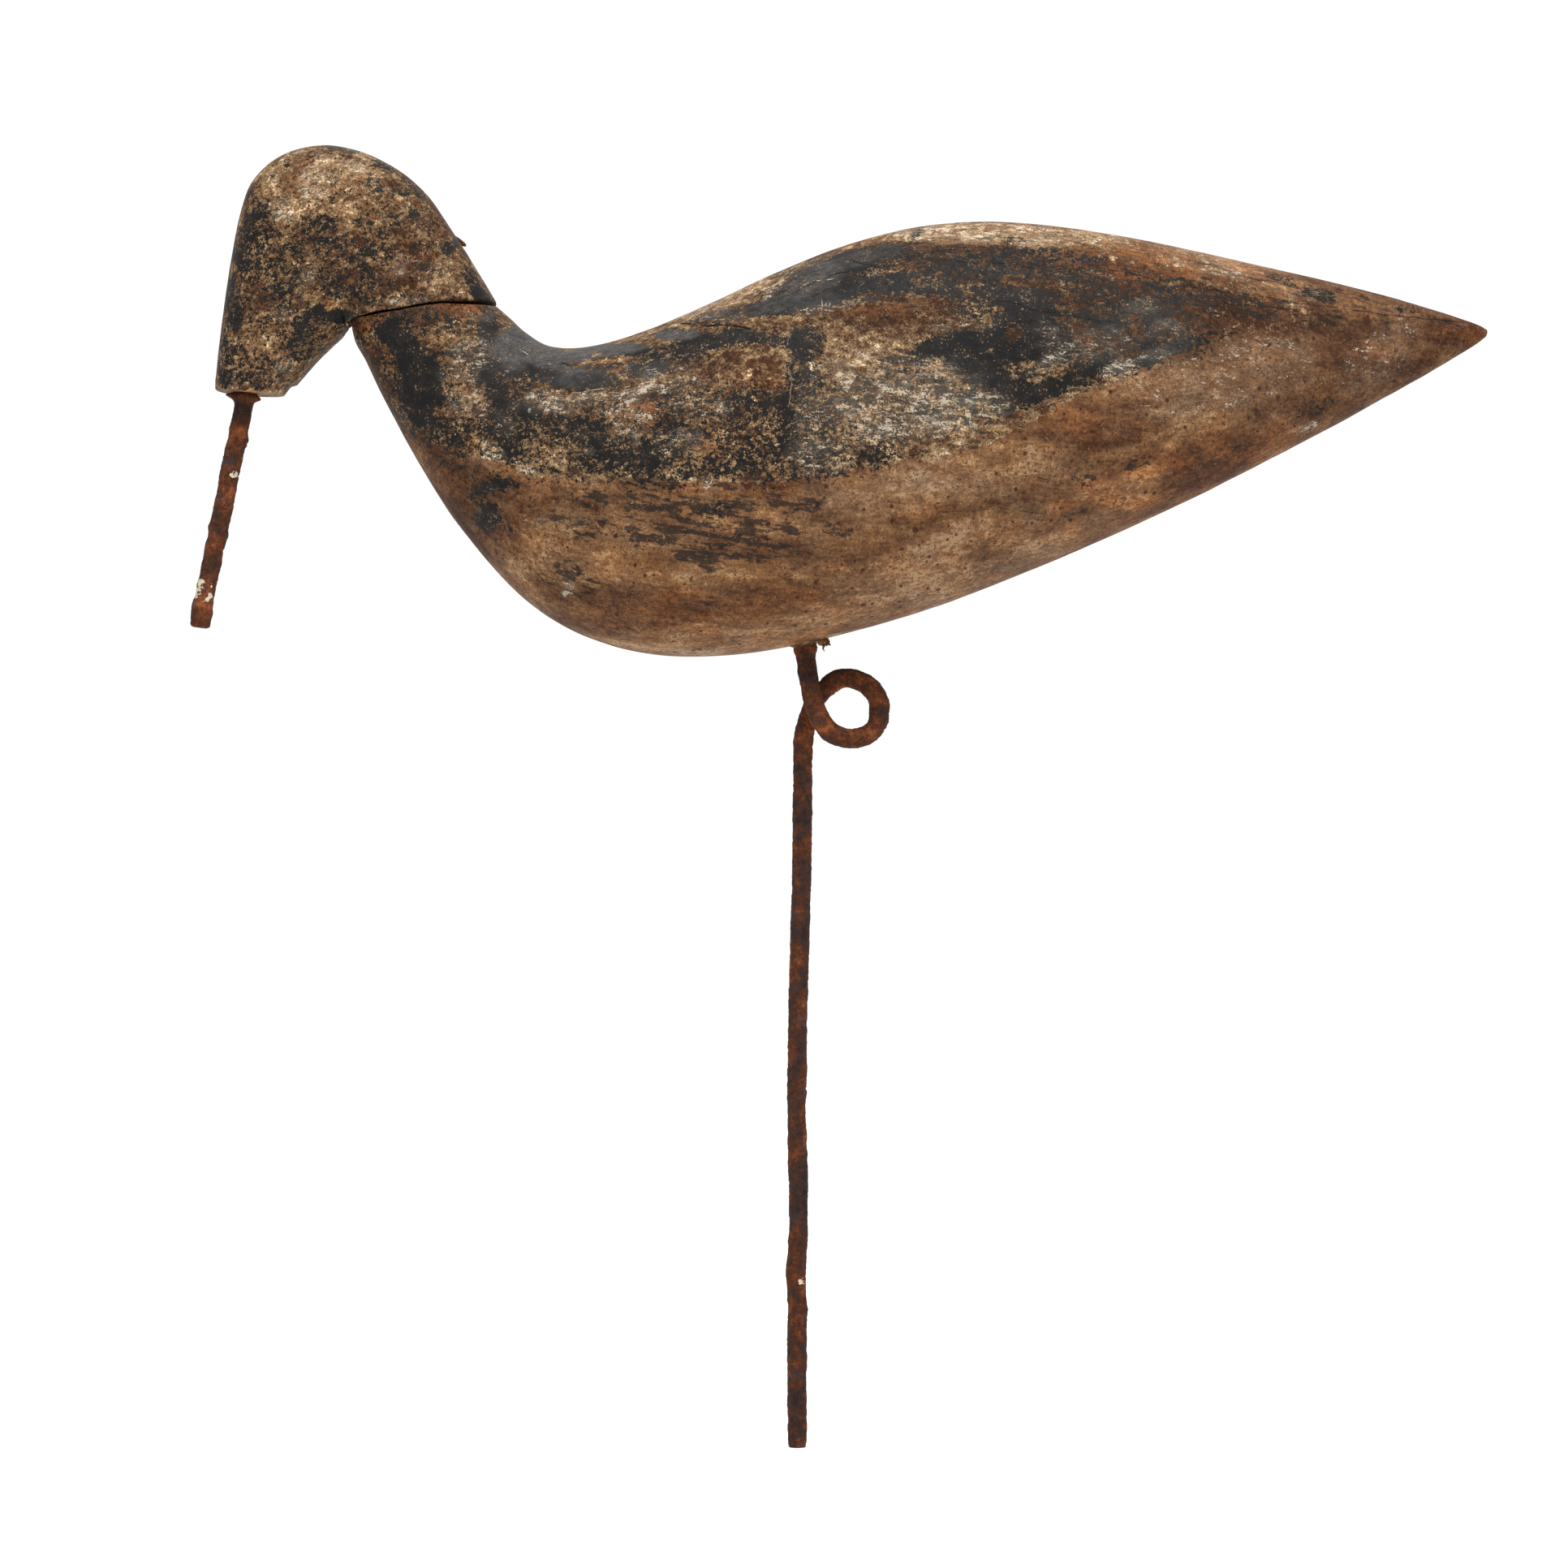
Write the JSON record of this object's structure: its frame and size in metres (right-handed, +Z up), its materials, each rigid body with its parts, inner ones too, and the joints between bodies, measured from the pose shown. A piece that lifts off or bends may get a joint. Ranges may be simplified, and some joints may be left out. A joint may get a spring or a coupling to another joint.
{
  "type": "shorebird decoy",
  "caption": "Carved and painted wooden shorebird with an iron bill, on an iron stake bent into an open eye below the belly, for setting in sand or mud.",
  "frame": {"origin": "the middle of the stake's foot, where it is set in the ground", "axes": "+Z up along the stake, -X the way the bill points, +X towards the tail, +Y across the bird"},
  "size_m": [0.4233, 0.0922, 0.4248],
  "materials": {
    "body_wood": "worn charcoal and ochre paint over bare brown wood",
    "head_wood": "worn, speckled charcoal, tan and cream paint",
    "bill_iron": "rusted, orange-brown and crusted",
    "nail_iron": "rusted, dark brown",
    "stake_iron": "rusted, dark brown"
  },
  "bodies": {
    "root": {"body": "body_wood", "head": "head_wood", "bill": "bill_iron", "head_nail": "nail_iron", "stake": "stake_iron"}
  },
  "joints": []
}
